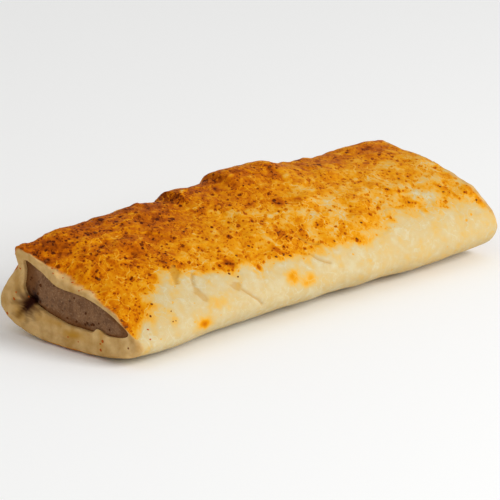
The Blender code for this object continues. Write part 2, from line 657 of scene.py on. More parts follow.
@dataclass
class RollForm:
    """The outer skin and the bore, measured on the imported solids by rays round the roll's middle line."""

    middle_height: float = 13.0
    far_away: float = 80.0
    stations: int = 150
    angles: int = 540
    end_margin: float = 1.3
    outer_smoothing: float = 0.8
    bore_smoothing: float = 0.5
    along: np.ndarray = field(init=False)
    turns: np.ndarray = field(init=False)
    outer: np.ndarray = field(init=False)
    bore: np.ndarray = field(init=False)
    ends: tuple[float, float] = field(init=False)

    def __post_init__(self) -> None:
        """Measures both surfaces and smooths the flat faces out of them."""
        low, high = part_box(CRUST_NODE)
        self.ends = (low[0] / MM, high[0] / MM)
        near, far = self.ends
        self.along = np.linspace(near + self.end_margin, far - self.end_margin, self.stations)
        self.turns = np.linspace(-0.5 * math.pi, 1.5 * math.pi, self.angles, endpoint=False)
        tree = surface_tree(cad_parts[CRUST_NODE].data)
        self.outer = self._smooth(self._radii(tree, inward=True), self.outer_smoothing)
        self.bore = self._smooth(self._radii(tree, inward=False), self.bore_smoothing)

    def _radii(self, tree: BVHTree, inward: bool) -> np.ndarray:
        """Distances from the middle line to a surface.

        Args:
            tree: the crust's solid.
            inward: whether the rays come from outside, and so meet the outer skin and not the bore.

        Returns:
            One row for each station and one column for each angle.
        """
        radii = np.zeros((self.stations, self.angles))
        for row, x in enumerate(self.along):
            middle = Vector((x, 0.0, self.middle_height))
            for column, turn in enumerate(self.turns):
                out = Vector((0.0, math.cos(turn), math.sin(turn)))
                start, way = (middle + out * self.far_away, -out) if inward else (middle, out)
                radii[row, column] = (tree.ray_cast(start, way)[0] - middle).length
        return radii

    def _smooth(self, radii: np.ndarray, reach: float) -> np.ndarray:
        """Radii averaged over their neighbours, by a bell curve of that reach in millimetres each way.

        Args:
            radii: one row for each station and one column for each angle.
            reach: how far the bell curve reaches.

        Returns:
            The radii, smoothed.
        """
        step_along = (self.along[-1] - self.along[0]) / (self.stations - 1)
        step_round = 2 * math.pi * radii.mean() / self.angles
        radii = blurred(radii, reach / step_round, axis=1, closed=True)
        return blurred(radii, reach / step_along, axis=0, closed=False)

    def even_turns(self, count: int, sole_share: float) -> np.ndarray:
        """Angles that space points evenly over the skin, but wider under the roll.

        Args:
            count: how many angles.
            sole_share: how dense the points under the roll are, against those elsewhere.

        Returns:
            The angles, from the middle of the underside over the back and the front round to it again.
        """
        radius = self.outer.mean(axis=0)
        across, up = radius * np.cos(self.turns), self.middle_height + radius * np.sin(self.turns)
        steps = np.hypot(np.roll(across, -1) - across, np.roll(up, -1) - up)
        steps = steps * np.where(up < 1.0, sole_share, 1.0)
        walked = np.concatenate([[0.0], np.cumsum(steps)])
        angles = np.append(self.turns, self.turns[0] + 2 * math.pi)
        return np.interp(np.linspace(0.0, walked[-1], count, endpoint=False), walked, angles)

    def surface(self, radii: np.ndarray, x: np.ndarray, turns: np.ndarray) -> np.ndarray:
        """Points on a measured surface.

        Args:
            radii: the surface, outer or bore.
            x: how far along each point is, one column for each angle.
            turns: the angles.

        Returns:
            The points, in the shape of x with a last axis of x, y, z.
        """
        angles = np.append(self.turns, self.turns[0] + 2 * math.pi)
        points = np.zeros((*x.shape, 3))
        for column, turn in enumerate(turns):
            k = min(int(np.searchsorted(angles, turn, side="right")) - 1, self.angles - 1)
            share = (turn - angles[k]) / (angles[k + 1] - angles[k])
            profile = radii[:, k] * (1 - share) + radii[:, (k + 1) % self.angles] * share
            radius = np.interp(x[:, column], self.along, profile)
            points[:, column, 0] = x[:, column]
            points[:, column, 1] = radius * math.cos(turn)
            points[:, column, 2] = self.middle_height + radius * math.sin(turn)
        return points


def normals_of(points: np.ndarray) -> np.ndarray:
    """The outward normals of a grid of points that is open along the roll and closed round it.

    Args:
        points: the grid.

    Returns:
        One unit vector for every point.
    """
    along = np.gradient(points, axis=0)
    around = np.roll(points, -1, axis=1) - np.roll(points, 1, axis=1)
    normals = np.cross(around, along)
    normals /= np.maximum(np.linalg.norm(normals, axis=2, keepdims=True), 1e-9)
    centre = points.mean(axis=1, keepdims=True)
    return normals * np.sign(np.einsum("ijk,ijk->ij", normals, points - centre).mean())


def drape_of(points: np.ndarray, settle: float = 4.0) -> np.ndarray:
    """How far down the skin each point lies from the ridge, positive towards the cook's side.

    Args:
        points: the skin's grid, whose columns start under the roll and go up its back.
        settle: how many rows the ridge line is smoothed over.

    Returns:
        The distances over the skin.
    """
    steps = np.linalg.norm(np.diff(points, axis=1), axis=2)
    walked = np.concatenate([np.zeros((len(points), 1)), np.cumsum(steps, axis=1)], axis=1)
    crest = walked[np.arange(len(points)), points[:, :, 2].argmax(axis=1)]
    return walked - blurred(crest, settle, axis=0, closed=False)[:, None]


def linked(name: str, data: bpy.types.ID) -> bpy.types.Object:
    """A new object of that name and data, in the scene.

    Args:
        name: the object's name.
        data: the mesh, the light or the camera.

    Returns:
        The object.
    """
    piece = bpy.data.objects.new(name, data)
    bpy.context.scene.collection.objects.link(piece)
    return piece


def mesh_from_rings(
    name: str, rings: np.ndarray, closed: bool, traits: dict[Trait, np.ndarray] | None = None
) -> bpy.types.Object:
    """A mesh object skinned over rings of equally many points.

    Args:
        name: the object's name.
        rings: the points in millimetres, one row for each ring.
        closed: whether the last ring joins the first. If not, both ends are closed with a fan.
        traits: numbers for every point.

    Returns:
        The object, linked to the scene and shaded smooth.
    """
    rows, columns = rings.shape[:2]
    index = np.arange(rows * columns).reshape(rows, columns)
    following = np.roll(index, -1, axis=0) if closed else index[1:]
    first = index if closed else index[:-1]
    quads = np.stack([first, np.roll(first, -1, 1), np.roll(following, -1, 1), following], axis=-1)
    faces = quads.reshape(-1, 4).tolist()
    if not closed:
        faces += [index[0, ::-1].tolist(), index[-1].tolist()]
    mesh = bpy.data.meshes.new(name)
    mesh.from_pydata((rings.reshape(-1, 3) * MM).tolist(), [], faces)
    for trait, values in (traits or {}).items():
        layer = mesh.attributes.new(trait.value, "FLOAT", "POINT")
        layer.data.foreach_set("value", values.reshape(-1).astype(np.float32))
    mesh.shade_smooth()
    return linked(name, mesh)


# ---------------------------------------------------------------------------------------------------------
# The crust's features, at places given by how far along the roll and how far down the skin they lie


CHARRED_PLACES = (
    (-54.2, 7.2, 0.75), (-69.3, 25.2, 0.60), (-75.1, 8.3, 0.70), (-19.7, 2.2, 0.60), (-30.6, 18.8, 0.50),
    (-28.5, 17.7, 0.40), (-17.8, 32.7, 0.50), (-32.3, 40.1, 0.45), (-30.3, 42.4, 0.45), (-59.4, 46.0, 0.28),
    (-60.6, 48.9, 0.30), (-59.8, 48.9, 0.26), (-63.3, 41.5, 0.45), (-66.2, 44.6, 0.45), (18.8, 4.1, 0.50),
    (5.8, 20.3, 0.60), (8.1, 22.9, 0.45), (10.5, 34.3, 0.45), (3.5, 34.5, 0.40), (-4.6, 31.8, 0.60),
    (-9.7, 40.3, 0.60), (-7.7, 41.0, 0.55), (-12.8, 40.4, 0.50), (-24.7, 34.9, 0.45), (-33.1, 27.6, 0.40),
    (-44.2, 29.2, 0.50), (-47.8, 29.8, 0.45), (-48.7, 28.4, 0.35), (25.1, 37.8, 0.50), (19.4, 42.6, 0.45),
    (11.2, 41.5, 0.45), (48.9, 33.9, 0.55), (46.0, 26.7, 0.50), (55.5, 23.1, 0.50), (73.0, 42.7, 0.60),
    (65.4, 33.1, 0.45), (64.1, 35.6, 0.45), (-76.0, 41.5, 0.55), (-75.5, 44.0, 0.60), (-73.8, 37.0, 0.40),
)
Path = tuple[tuple[float, float], ...]


@dataclass
class SkinSheet:
    """The skin laid out flat, and what its features have added to it so far.

    points is its grid, drape is how far down the skin each point lies from the ridge, and egged is 1 where
    egg was brushed on. relief is how far the skin stands out. browning and tan are traits of its finish.
    """

    points: np.ndarray
    drape: np.ndarray
    egged: np.ndarray
    browning: np.ndarray
    relief: np.ndarray
    noise: Sequence[SolidNoise]

    def __post_init__(self) -> None:
        """Works out the unevenness that all features of a kind share."""
        self.along = self.points[..., 0]
        self.tan = np.zeros_like(self.along)
        self.blotchy = 1.0 + Bumps(3, 0.5, 1.8).over(self.noise, self.points)
        self.wavy = Bumps(5, 0.8, 3.0).over(self.noise, self.points)
        self.frayed = Bumps(5, 0.25, 1.5).over(self.noise, self.points)
        self.broken = 0.55 + 0.45 * ease(-0.3, 0.4, self.noise[6](self.points, 3.0))

    def gap(self, path: Path) -> np.ndarray:
        """How far each point is from a path on the skin."""
        return distance_to_path(self.along, self.drape, path)


@dataclass(frozen=True)
class Crease:
    """A raised edge of thin pastry, pale with a painted highlight: its path, height and half width."""

    path: Path
    height: float
    width: float
    paler: float = 0.20

    def mark(self, sheet: SkinSheet) -> None:
        """Adds the crease to the skin.

        Args:
            sheet: the skin, to which the feature is added.
        """
        line = hump(sheet.gap(self.path) + sheet.frayed, self.width) * sheet.broken
        sheet.relief += self.height * line
        # Paler along the edge: the thin pastry's own colour and a painted highlight.
        sheet.browning -= self.paler * line * sheet.egged


@dataclass(frozen=True)
class Groove:
    """A wrinkle or a crack: its path, depth and half width, and how brown and how tan it is."""

    path: Path
    depth: float = 0.5
    width: float = 0.36
    browner: float = 0.0
    tan: float = 0.6

    def mark(self, sheet: SkinSheet) -> None:
        """Adds the groove to the skin.

        Args:
            sheet: the skin, to which the feature is added.
        """
        line = hump(sheet.gap(self.path), self.width)
        sheet.relief -= self.depth * line
        sheet.browning += self.browner * line
        sheet.tan = np.maximum(sheet.tan, self.tan * line)


@dataclass(frozen=True)
class Scar:
    """A place where a flake has come off and left a flat tan floor: its outline, depth, tan and edge."""

    outline: Path
    depth: float
    tan: float
    edge: float = 0.18

    def mark(self, sheet: SkinSheet) -> None:
        """Adds the scar to the skin.

        Args:
            sheet: the skin, to which the feature is added.
        """
        gap = sheet.gap((*self.outline, self.outline[0]))
        inside = inside_outline(sheet.along, sheet.drape, self.outline)
        sunk = ease(-self.edge, self.edge, np.where(inside, gap, -gap))
        sheet.relief -= self.depth * sunk
        sheet.tan = np.maximum(sheet.tan, self.tan * sunk)


@dataclass(frozen=True)
class Patch:
    """A soft round change of browning: its place, the change, and how long and wide it is."""

    along: float
    drape: float
    change: float
    length: float
    width: float

    def mark(self, sheet: SkinSheet) -> None:
        """Adds the patch to the skin.

        Args:
            sheet: the skin, to which the feature is added.
        """
        along, across = (sheet.along - self.along) / self.length, (sheet.drape - self.drape) / self.width
        spread = along**2 + across**2
        sheet.browning += self.change * np.exp(-spread * sheet.blotchy)


@dataclass(frozen=True)
class Ledge:
    """A step up on the crust where a puffed layer starts.

    It has its place, its rise, its run until it is level again, and its width across the roll. raised is the
    share of the rise that stands out of the skin, and sunk is the share that lies below it.
    """

    along: float
    drape: float
    rise: float
    run: float
    width: float
    foot: float = -1.3
    crown: float = 1.2
    raised: float = 0.55
    sunk: float = 0.45
    browner: float = 0.05

    def mark(self, sheet: SkinSheet) -> None:
        """Adds the ledge to the skin and darkens its face: browning, with painted shade on the step.

        Args:
            sheet: the skin, to which the feature is added.
        """
        past = sheet.along - self.along + sheet.wavy
        across = sheet.drape - self.drape
        step = ease(self.foot, self.crown, past)
        high = step * np.exp(-np.maximum(past, 0.0) / self.run)
        low = (1.0 - step) * np.exp(np.minimum(past, 0.0) / (0.6 * self.run))
        sheet.relief += self.rise * (self.raised * high - self.sunk * low) * hump(across, self.width)
        # Darker on the step's face: browning together with painted shade on the steep face of the step.
        sheet.browning += self.browner * self.rise * hump(past - 0.5, 2.0) * hump(across, 0.7 * self.width)


# ---------------------------------------------------------------------------------------------------------
# The cut ends


@dataclass(frozen=True)
class Nudge:
    """A soft push on the dough, as by a thumb: its place, its move and its reach, each as x, y, z."""

    place: tuple[float, float, float]
    move: tuple[float, float, float]
    reach: tuple[float, float, float]

    def moved(self, points: np.ndarray) -> np.ndarray:
        """The points after the push.

        Args:
            points: the points before it.

        Returns:
            The moved points.
        """
        off = (points - np.array(self.place)) / np.array(self.reach)
        weight = np.exp(-np.einsum("...k,...k->...", off, off))
        return points + weight[..., None] * np.array(self.move)


MOUTH_NUDGE = Nudge((-77.0, 16.2, 22.0), (0.0, 1.7, 1.1), (7.0, 3.4, 2.8))


@dataclass(frozen=True)
class LipSpot:
    """The shape of a cut end at one place round the roll.

    turn is the place's angle in degrees, from the back over the ridge to the front. set_back is how far the
    lip lies behind the foremost dough, outer and inner are the radii over which it rolls out to the skin and
    into the bore, and golden is how far the egg-washed top reaches over it, from where the rounding starts.
    """

    turn: float
    set_back: float
    outer: float
    inner: float
    golden: float


@dataclass(frozen=True)
class FaceStain:
    """A soft tan stain on a cut end: its place across and up, its strength, and how wide and high it is."""

    across: float
    height: float
    strength: float
    width: float
    rise: float

    def on(self, points: np.ndarray, blotchy: np.ndarray) -> np.ndarray:
        """How stained each point is, for a stain whose edge is as uneven as blotchy says.

        Args:
            points: points on the cut end.
            blotchy: what the stain's fall towards its edge is multiplied by.

        Returns:
            The stain, from 0 to its strength.
        """
        across, up = (points[..., 1] - self.across) / self.width, (points[..., 2] - self.height) / self.rise
        off = across**2 + up**2
        return self.strength * np.exp(-off * blotchy)


@dataclass(frozen=True)
class JuiceSpot:
    """The spot where meat juice boiled out of the near end and burnt: a dark pit with a ragged stain.

    It has its place across and up. The pit is an oval with its half length, half width, lean in radians and
    depth. stain_reach is how far the stain goes, and rays is how many tongues it runs out in.
    """

    across: float = 16.2
    height: float = 10.5
    length: float = 4.0
    width: float = 1.15
    lean: float = 0.75
    deep: float = 1.2
    stain_core: float = 2.2
    stain_reach: float = 9.5
    rays: int = 9

    def _local(self, points: np.ndarray) -> tuple[np.ndarray, np.ndarray]:
        """Each point's distance along the pit's long axis and across it.

        Args:
            points: points on the near end.

        Returns:
            Both distances.
        """
        y, z = points[..., 1] - self.across, points[..., 2] - self.height
        cos, sin = math.cos(self.lean), math.sin(self.lean)
        return y * cos - z * sin, y * sin + z * cos

    def pit(self, points: np.ndarray) -> np.ndarray:
        """1 in the middle of the pit, falling to 0 at its edge."""
        along, off = self._local(points)
        return np.exp(-((along / self.length) ** 4) - (off / self.width) ** 2)

    def stain(self, points: np.ndarray, noise: SolidNoise) -> np.ndarray:
        """How burnt each point is, from 0 to 1.

        Args:
            points: points on the near end.
            noise: what makes the stain ragged.

        Returns:
            The burning.
        """
        along, off = self._local(points)
        distance = np.hypot(along, 1.25 * off)
        turn = self.rays * np.arctan2(off, along) + 2.6 * noise(points, 3.0)
        tongues = 0.82 + 0.18 * np.cos(turn) + 0.14 * noise(points, 1.0)
        spread = ease(self.stain_reach, self.stain_core, distance / tongues + 0.8 * noise(points, 2.0))
        return np.clip(0.42 * self.pit(points) + 0.84 * spread, 0.0, 1.0)


JUICE_SPOT = JuiceSpot()


def bare_dough(past: np.ndarray, points: np.ndarray, noise: Sequence[SolidNoise]) -> np.ndarray:
    """How bare the dough of a cut end is.

    Args:
        past: how far a point lies past the edge of the golden top, towards the bore.
        points: the points.
        noise: what makes the edge lobed.

    Returns:
        0 on the golden top, rising to 1 on bare dough.
    """
    lobes = (Bumps(1, 0.75, 3.4), Bumps(5, 0.4, 1.5))
    return ease(-0.55, 0.55, past + heaped(lobes, noise, points))


@dataclass
class CutEnd:
    """One cut end of the crust: the lip all round it, its face of bare dough and the way into the bore.

    way is -1 for the near end and 1 for the far one. swell is the dough's unevenness, which is set back by
    swell_sunk so that little of it stands proud.
    """

    form: RollForm
    turns: np.ndarray
    spots: tuple[LipSpot, ...]
    way: float
    stains: tuple[FaceStain, ...] = ()
    burnt: JuiceSpot | None = None
    lip_rows: int = 7
    face_rows: int = 14
    mouth_rows: int = 4
    settle: float = 4.0
    swell: tuple[Bumps, ...] = (Bumps(0, 0.42, 5.0), Bumps(1, 0.20, 2.2), Bumps(2, 0.09, 1.1))
    swell_sunk: float = 0.12
    skin_fade: tuple[float, float] = (3.0, 0.6)
    sole_height: tuple[float, float] = (1.05, 0.55)
    sole_browning: float = 0.74

    def __post_init__(self) -> None:
        """Works out the lip's sizes at every angle, held to what the wall has room for."""
        self.end = self.form.ends[0] if self.way < 0 else self.form.ends[1]
        plane = np.full((1, len(self.turns)), self.end)
        self.mouth = self.form.surface(self.form.bore, plane, self.turns)[0]
        wall = np.linalg.norm(self.form.surface(self.form.outer, plane, self.turns)[0] - self.mouth, axis=1)
        self.set_back, self.golden = self._round("set_back"), self._round("golden")
        self.outer = np.minimum(self._round("outer"), 0.6 * wall)
        self.inner = np.minimum(self._round("inner"), 0.25 * wall)
        self.start = self.set_back + self.outer

    def _round(self, size: str) -> np.ndarray:
        """The lip's size of that name at every angle, on a soft curve through the spots.

        Args:
            size: which of a lip spot's sizes.

        Returns:
            One value for each angle.
        """
        angles = [spot.turn for spot in self.spots]
        values = [getattr(spot, size) for spot in self.spots]
        sizes = np.interp(np.degrees(self.turns) % 360.0, angles, values, period=360.0)
        return blurred(sizes, self.settle, axis=0, closed=True)

    def rings(self, rim: np.ndarray, noise: Sequence[SolidNoise]) -> np.ndarray:
        """The rings from the skin's last one over the lip and the face into the bore.

        Args:
            rim: the skin's last ring.
            noise: what makes the dough uneven.

        Returns:
            The rings. self.depth is then how far each point lies over the surface from the rim.
        """
        front = self.end - self.way * self.set_back
        flat = rim.copy()
        flat[:, 0] = front
        wall = self.mouth - flat
        wall[:, 0] = 0.0
        thickness = np.linalg.norm(wall, axis=1)
        inward = wall / thickness[:, None]
        quarter = 0.5 * math.pi
        steps = []
        for k in range(1, self.lip_rows + 1):
            turn = quarter * k / self.lip_rows
            out, back = 1 - math.cos(turn), 1 - math.sin(turn)
            steps.append((self.outer * out, self.outer * back, self.outer * turn))
        for k in range(1, self.face_rows + 1):
            across = (thickness - self.outer - self.inner) * k / self.face_rows
            steps.append((self.outer + across, 0.0 * across, self.outer * quarter + across))
        faced = steps[-1][2]
        for k in range(1, self.mouth_rows + 1):
            turn = quarter * k / self.mouth_rows
            reach = thickness - self.inner + self.inner * math.sin(turn)
            steps.append((reach, self.inner * (1 - math.cos(turn)), faced + self.inner * turn))
        reaches, backs, depths = (np.array(values) for values in zip(*steps))
        self.depth = depths
        grid = flat + inward * reaches[..., None]
        grid[..., 0] = front - self.way * backs
        fade = np.sin(np.linspace(0.25, math.pi, len(grid)))[:, None] ** 0.5
        grid[..., 0] += self.way * (heaped(self.swell, noise, grid) - self.swell_sunk) * fade
        if self.burnt:
            grid[..., 0] -= self.way * self.burnt.deep * self.burnt.pit(grid)
        return grid

    def traits(
        self, rings: np.ndarray, rim: dict[Trait, np.ndarray], noise: Sequence[SolidNoise]
    ) -> dict[Trait, np.ndarray]:
        """The numbers for the finish on the rings.

        Args:
            rings: the rings.
            rim: each trait on the skin's last ring.
            noise: what makes the edges uneven.

        Returns:
            Every trait.
        """
        left = ease(*self.skin_fade, self.depth)
        sole = ease(*self.sole_height, rings[..., 2] + Bumps(2, 0.25, 1.5).over(noise, rings))
        tan = 0.10 * ease(0.1, 0.5, noise[4](rings, 3.0))
        blotchy = 1.0 + Bumps(3, 0.6, 1.6).over(noise, rings)
        for stain in self.stains:
            tan = np.maximum(tan, stain.on(rings, blotchy))
        browning = rim[Trait.BROWNING] * left + 0.1 * (1 - left)
        return {
            Trait.BROWNING: browning * (1 - sole) + self.sole_browning * sole,
            Trait.SPECKLING: rim[Trait.SPECKLING] * left,
            Trait.DOUGH: bare_dough(self.depth - self.golden, rings, noise) * (1 - sole),
            Trait.TAN: tan,
            Trait.SCORCH: self.burnt.stain(rings, noise[3]) if self.burnt else np.zeros_like(left),
        }


# ---------------------------------------------------------------------------------------------------------
# The crust


@dataclass(frozen=True)
class Browning:
    """How brown the crust is, on the scale of its finish's ramp, and what makes it browner or paler there.

    Each pair of numbers is where a change starts and where it is full. top is the egg-washed top's browning,
    which is darker in the zone behind dark_edge and along the ridge, and paler low on the front, on the far
    half and in creamy clouds. pale is the browning where no egg was brushed on, with yellow clouds.
    """

    top: float = 0.56
    dark: float = 0.085
    dark_zone: tuple[float, float] = (5.0, -3.0)
    ridge: float = 0.05
    ridge_width: float = 5.0
    low: float = -0.09
    low_share: tuple[float, float] = (0.45, 0.9)
    low_along: tuple[float, float] = (-48.0, -30.0)
    far: float = -0.08
    far_along: tuple[float, float] = (-5.0, 45.0)
    clouds: tuple[Bumps, ...] = (Bumps(2, 0.07, 6.0, layered=True), Bumps(3, 0.08, 2.2), Bumps(7, 0.05, 1.3))
    creamy: float = -0.14
    creamy_cloud: Bumps = Bumps(4, 1.0, 6.5, shift=90.0, layered=True)
    creamy_along: tuple[float, float] = (-50.0, 15.0)
    creamy_share: tuple[float, float] = (0.15, 0.6)
    pale: float = 0.075
    pale_clouds: tuple[Bumps, ...] = (Bumps(4, 0.05, 5.5, layered=True), Bumps(5, 0.05, 2.0))
    pale_far: float = 0.045
    yellow: float = 0.20
    yellow_far: float = -0.14
    yellow_cloud: Bumps = Bumps(2, 1.0, 5.0, shift=40.0, layered=True)
    yellow_past: tuple[float, float] = (12.0, 0.0)
    sole: float = 0.05
    halo: float = 0.13
    halo_radius: float = 1.2

    def over(
        self, skin: np.ndarray, drape: np.ndarray, egged: np.ndarray, edge: np.ndarray, dark_edge: np.ndarray,
        noise: Sequence[SolidNoise],
    ) -> np.ndarray:
        """The browning before the crust's features change it.

        Args:
            skin: the skin's grid.
            drape: how far each point lies down the skin from the ridge.
            egged: 1 where egg was brushed on.
            edge: how far down the golden top ends.
            dark_edge: how far past the edge of the dark zone each point is.
            noise: what makes it cloudy.

        Returns:
            The browning.
        """
        x, share = skin[..., 0], drape / edge
        far = ease(*self.far_along, x)
        tone = self.top + self.dark * ease(*self.dark_zone, dark_edge)
        tone += self.ridge * hump(drape - 1.0, self.ridge_width)
        tone += self.low * ease(*self.low_share, share) * ease(*self.low_along, x) + self.far * far
        tone += heaped(self.clouds, noise, skin)
        creamy = ease(0.0, 0.42, self.creamy_cloud.over(noise, skin)) * ease(*self.creamy_along, x)
        tone += self.creamy * creamy * ease(*self.creamy_share, share)
        yellow = ease(0.0, 0.45, self.yellow_cloud.over(noise, skin)) * ease(*self.yellow_past, drape - edge)
        pale = self.pale + heaped(self.pale_clouds, noise, skin) + self.pale_far * far
        pale += (self.yellow + self.yellow_far * far) * yellow
        browning = pale + (tone - pale) * egged + self.sole * ease(2.0, 0.5, skin[..., 2])
        for along, down, radius in CHARRED_PLACES:
            browning += self.halo * hump(np.hypot(x - along, drape - down), self.halo_radius + radius)
        return browning


@dataclass
class PastryCrust:
    """The crust: a closed wall with rounded cut ends, whose skin puffs, wrinkles, flakes and browns.

    golden_edge and dark_edge give how far down the skin the golden top and its dark zone reach, as points of
    (along, drape). lower_back is where on the back the egg wash thins out and ends.
    """

    form: RollForm
    rows: int = 300
    columns: int = 272
    sole_share: float = 0.45
    bore_rows: int = 6
    bore_margin: float = 4.0
    browning: Browning = Browning()
    near_lip: tuple[LipSpot, ...] = (
        LipSpot(8, 0.2, 1.4, 0.4, -0.6),
        LipSpot(33, 0.0, 0.6, 0.4, 1.1),
        LipSpot(44, 0.2, 0.9, 0.4, 0.4),
        LipSpot(62, 0.2, 1.4, 0.4, -0.9),
        LipSpot(100, 0.3, 1.8, 0.5, -0.7),
        LipSpot(128, 0.4, 1.9, 0.5, -1.1),
        LipSpot(142, 0.8, 1.5, 0.4, -0.3),
        LipSpot(157, 1.1, 1.0, 0.3, 0.4),
        LipSpot(172, 1.3, 0.8, 0.3, 1.0),
        LipSpot(185, 1.2, 1.2, 0.3, 1.1),
        LipSpot(193, 0.9, 2.4, 0.4, 0.6),
        LipSpot(205, 0.6, 2.6, 0.6, 0.0),
        LipSpot(230, 0.1, 1.6, 0.8, 0.0),
        LipSpot(270, 0.0, 1.2, 0.9, 0.0),
        LipSpot(335, 0.0, 1.8, 0.8, 0.0),
        LipSpot(354, 0.1, 2.0, 0.5, 0.0),
    )
    far_lip: tuple[LipSpot, ...] = (
        LipSpot(20, 0.2, 1.2, 0.5, 1.2),
        LipSpot(60, 0.3, 1.4, 0.5, -0.4),
        LipSpot(110, 0.1, 1.7, 0.6, 0.5),
        LipSpot(150, 0.4, 1.4, 0.5, -0.8),
        LipSpot(190, 0.0, 1.3, 0.5, 0.3),
        LipSpot(270, 0.0, 1.3, 0.9, 0.0),
        LipSpot(340, 0.1, 1.8, 0.6, 0.0),
    )
    nudges: tuple[Nudge, ...] = (
        Nudge((-77.0, 22.5, 20.6), (0.0, -2.0, -0.2), (7.0, 5.0, 3.4)),
        Nudge((-77.0, 20.8, 26.6), (-0.3, 0.6, 1.0), (6.0, 3.0, 2.2)),
        Nudge((-77.0, 29.0, 9.5), (0.0, 0.35, 0.0), (5.0, 4.0, 4.5)),
        Nudge((-76.0, 29.0, 7.2), (0.0, 0.5, 0.0), (1.2, 1.5, 0.9)),
        Nudge((-77.0, 4.0, 19.2), (-0.3, 0.0, -0.9), (2.6, 8.0, 1.8)),
        Nudge((-77.0, -12.6, 7.9), (-0.7, 0.2, 2.3), (2.0, 1.9, 1.7)),
        Nudge((-77.0, -4.0, 3.0), (-0.2, 0.0, 0.9), (3.0, 5.0, 2.2)),
        Nudge((-77.0, 6.0, 3.2), (0.6, 0.0, 0.0), (2.0, 12.0, 0.8)),
        Nudge((77.0, -6.0, 20.0), (-0.3, 0.0, -0.8), (2.6, 7.0, 1.8)),
        Nudge((77.0, 9.0, 7.4), (0.4, 0.0, 1.1), (1.8, 1.7, 1.6)),
    )
    face_stains: tuple[FaceStain, ...] = (
        FaceStain(-2.5, 4.8, 1.0, 4.4, 1.7),
        FaceStain(-13.6, 4.4, 0.6, 0.9, 2.2),
        FaceStain(19.5, 7.0, 0.6, 2.5, 3.0),
        FaceStain(6.0, 7.2, 0.45, 7.0, 0.9),
    )
    golden_edge: tuple[tuple[float, float], ...] = (
        (-77.0, 56.0), (-75.0, 50.0), (-69.0, 44.0), (-61.0, 37.5), (-52.0, 33.5), (-40.0, 36.5),
        (-30.0, 38.8), (-8.0, 41.5), (5.0, 43.0), (14.0, 44.0), (25.0, 42.0), (36.0, 38.5), (50.0, 39.0),
        (62.0, 41.0), (71.0, 44.0), (77.0, 49.0),
    )
    dark_edge: tuple[tuple[float, float], ...] = (
        (-77.0, 14.0), (-64.0, 21.0), (-50.0, 24.0), (-32.0, 20.0), (-16.0, 15.5), (5.0, 15.0),
        (25.0, 13.5), (44.0, 10.0), (60.0, 11.0), (77.0, 9.0),
    )
    creases_with_highlights: tuple[Crease, ...] = (
        Crease(((-52.7, 4.2), (-49.5, 3.9), (-45.4, 2.1), (-42.2, 0.9), (-37.9, -0.6)), 0.21, 0.60),
        Crease(((-15.4, 1.6), (-9.0, -1.0), (-4.5, 0.9), (-1.5, 2.4), (1.5, 3.5), (4.6, 3.5)), 0.24, 0.60),
        Crease(((-17.2, 6.6), (-15.4, 2.5), (-13.6, 0.0)), 0.18, 0.50),
        Crease(((-3.7, 0.9), (-6.0, 5.9), (-6.5, 9.6)), 0.18, 0.45),
        Crease(
            ((-20.5, 20.0), (-22.5, 23.0), (-26.0, 25.3), (-29.9, 26.5), (-34.5, 27.1), (-43.0, 29.8)),
            0.21, 0.60,
        ),
        Crease(((-8.7, 27.9), (-9.8, 32.9), (-9.0, 35.2), (-9.0, 38.0)), 0.18, 0.55),
        Crease(((28.6, 22.6), (36.3, 18.6), (42.1, 17.6), (46.1, 18.8), (47.8, 22.6)), 0.18, 0.60),
        Crease(((-6.1, 43.8), (-2.4, 43.3), (-0.2, 43.3)), 0.27, 0.50),
        Crease(((9.9, 48.3), (10.1, 50.9), (12.0, 52.4), (14.6, 52.0)), 0.21, 0.50),
    )
    ledges: tuple[Ledge, ...] = (
        Ledge(-17.4, -3.0, 2.4, 8.0, 9.0),
        Ledge(1.6, -3.0, 1.6, 9.0, 9.0),
        Ledge(-47.0, -2.0, 0.8, 7.0, 7.0),
        Ledge(-29.5, -3.0, 0.9, 5.0, 7.0),
        Ledge(33.0, 2.0, 0.5, 9.0, 9.0),
        Ledge(-12.0, 17.0, 0.7, 6.0, 5.0),
        Ledge(12.0, 24.0, 0.7, 7.0, 6.0),
    )
    wrinkles: tuple[Groove, ...] = (
        Groove(((-57.4, 21.6), (-55.0, 22.4), (-52.4, 23.6)), 0.14, 0.40, 0.16, 0.0),
        Groove(
            ((-58.8, 23.6), (-57.8, 25.6), (-54.7, 28.0), (-52.9, 30.0), (-52.3, 32.6)), 0.14, 0.40, 0.16, 0.0
        ),
        Groove(((-52.8, 24.6), (-51.1, 27.2), (-50.6, 29.9)), 0.14, 0.40, 0.16, 0.0),
        Groove(((-56.5, 24.2), (-53.8, 26.2), (-52.0, 28.0)), 0.14, 0.40, 0.16, 0.0),
    )
    cracks: tuple[Groove, ...] = (
        Groove(((-43.2, 35.9), (-45.2, 38.3), (-46.1, 40.2))),
        Groove(((-31.3, 46.2), (-30.2, 47.7), (-28.8, 49.1), (-26.6, 50.7), (-24.8, 52.8))),
        Groove(((-0.4, 42.6), (0.5, 43.8), (1.5, 45.3), (3.1, 46.9), (5.1, 47.9))),
        Groove(((0.6, 35.3), (1.3, 37.5), (2.0, 39.3), (5.0, 41.0))),
    )
    scars: tuple[Scar, ...] = (
        Scar(
            ((-46.5, 30.9), (-46.6, 34.5), (-49.4, 36.6), (-50.1, 38.1), (-51.5, 38.2), (-50.6, 36.2),
             (-49.2, 32.5)),
            0.35, 0.70,
        ),
        Scar(
            ((-46.1, 40.2), (-45.5, 41.8), (-45.2, 43.8), (-44.6, 46.0), (-45.6, 46.7), (-46.9, 46.1),
             (-47.3, 44.4), (-48.1, 42.8)),
            0.18, 0.50,
        ),
        Scar(
            ((-31.2, 45.8), (-30.6, 44.2), (-32.4, 43.2), (-34.8, 43.8), (-34.2, 45.2), (-32.6, 46.6)),
            0.18, 0.50,
        ),
    )
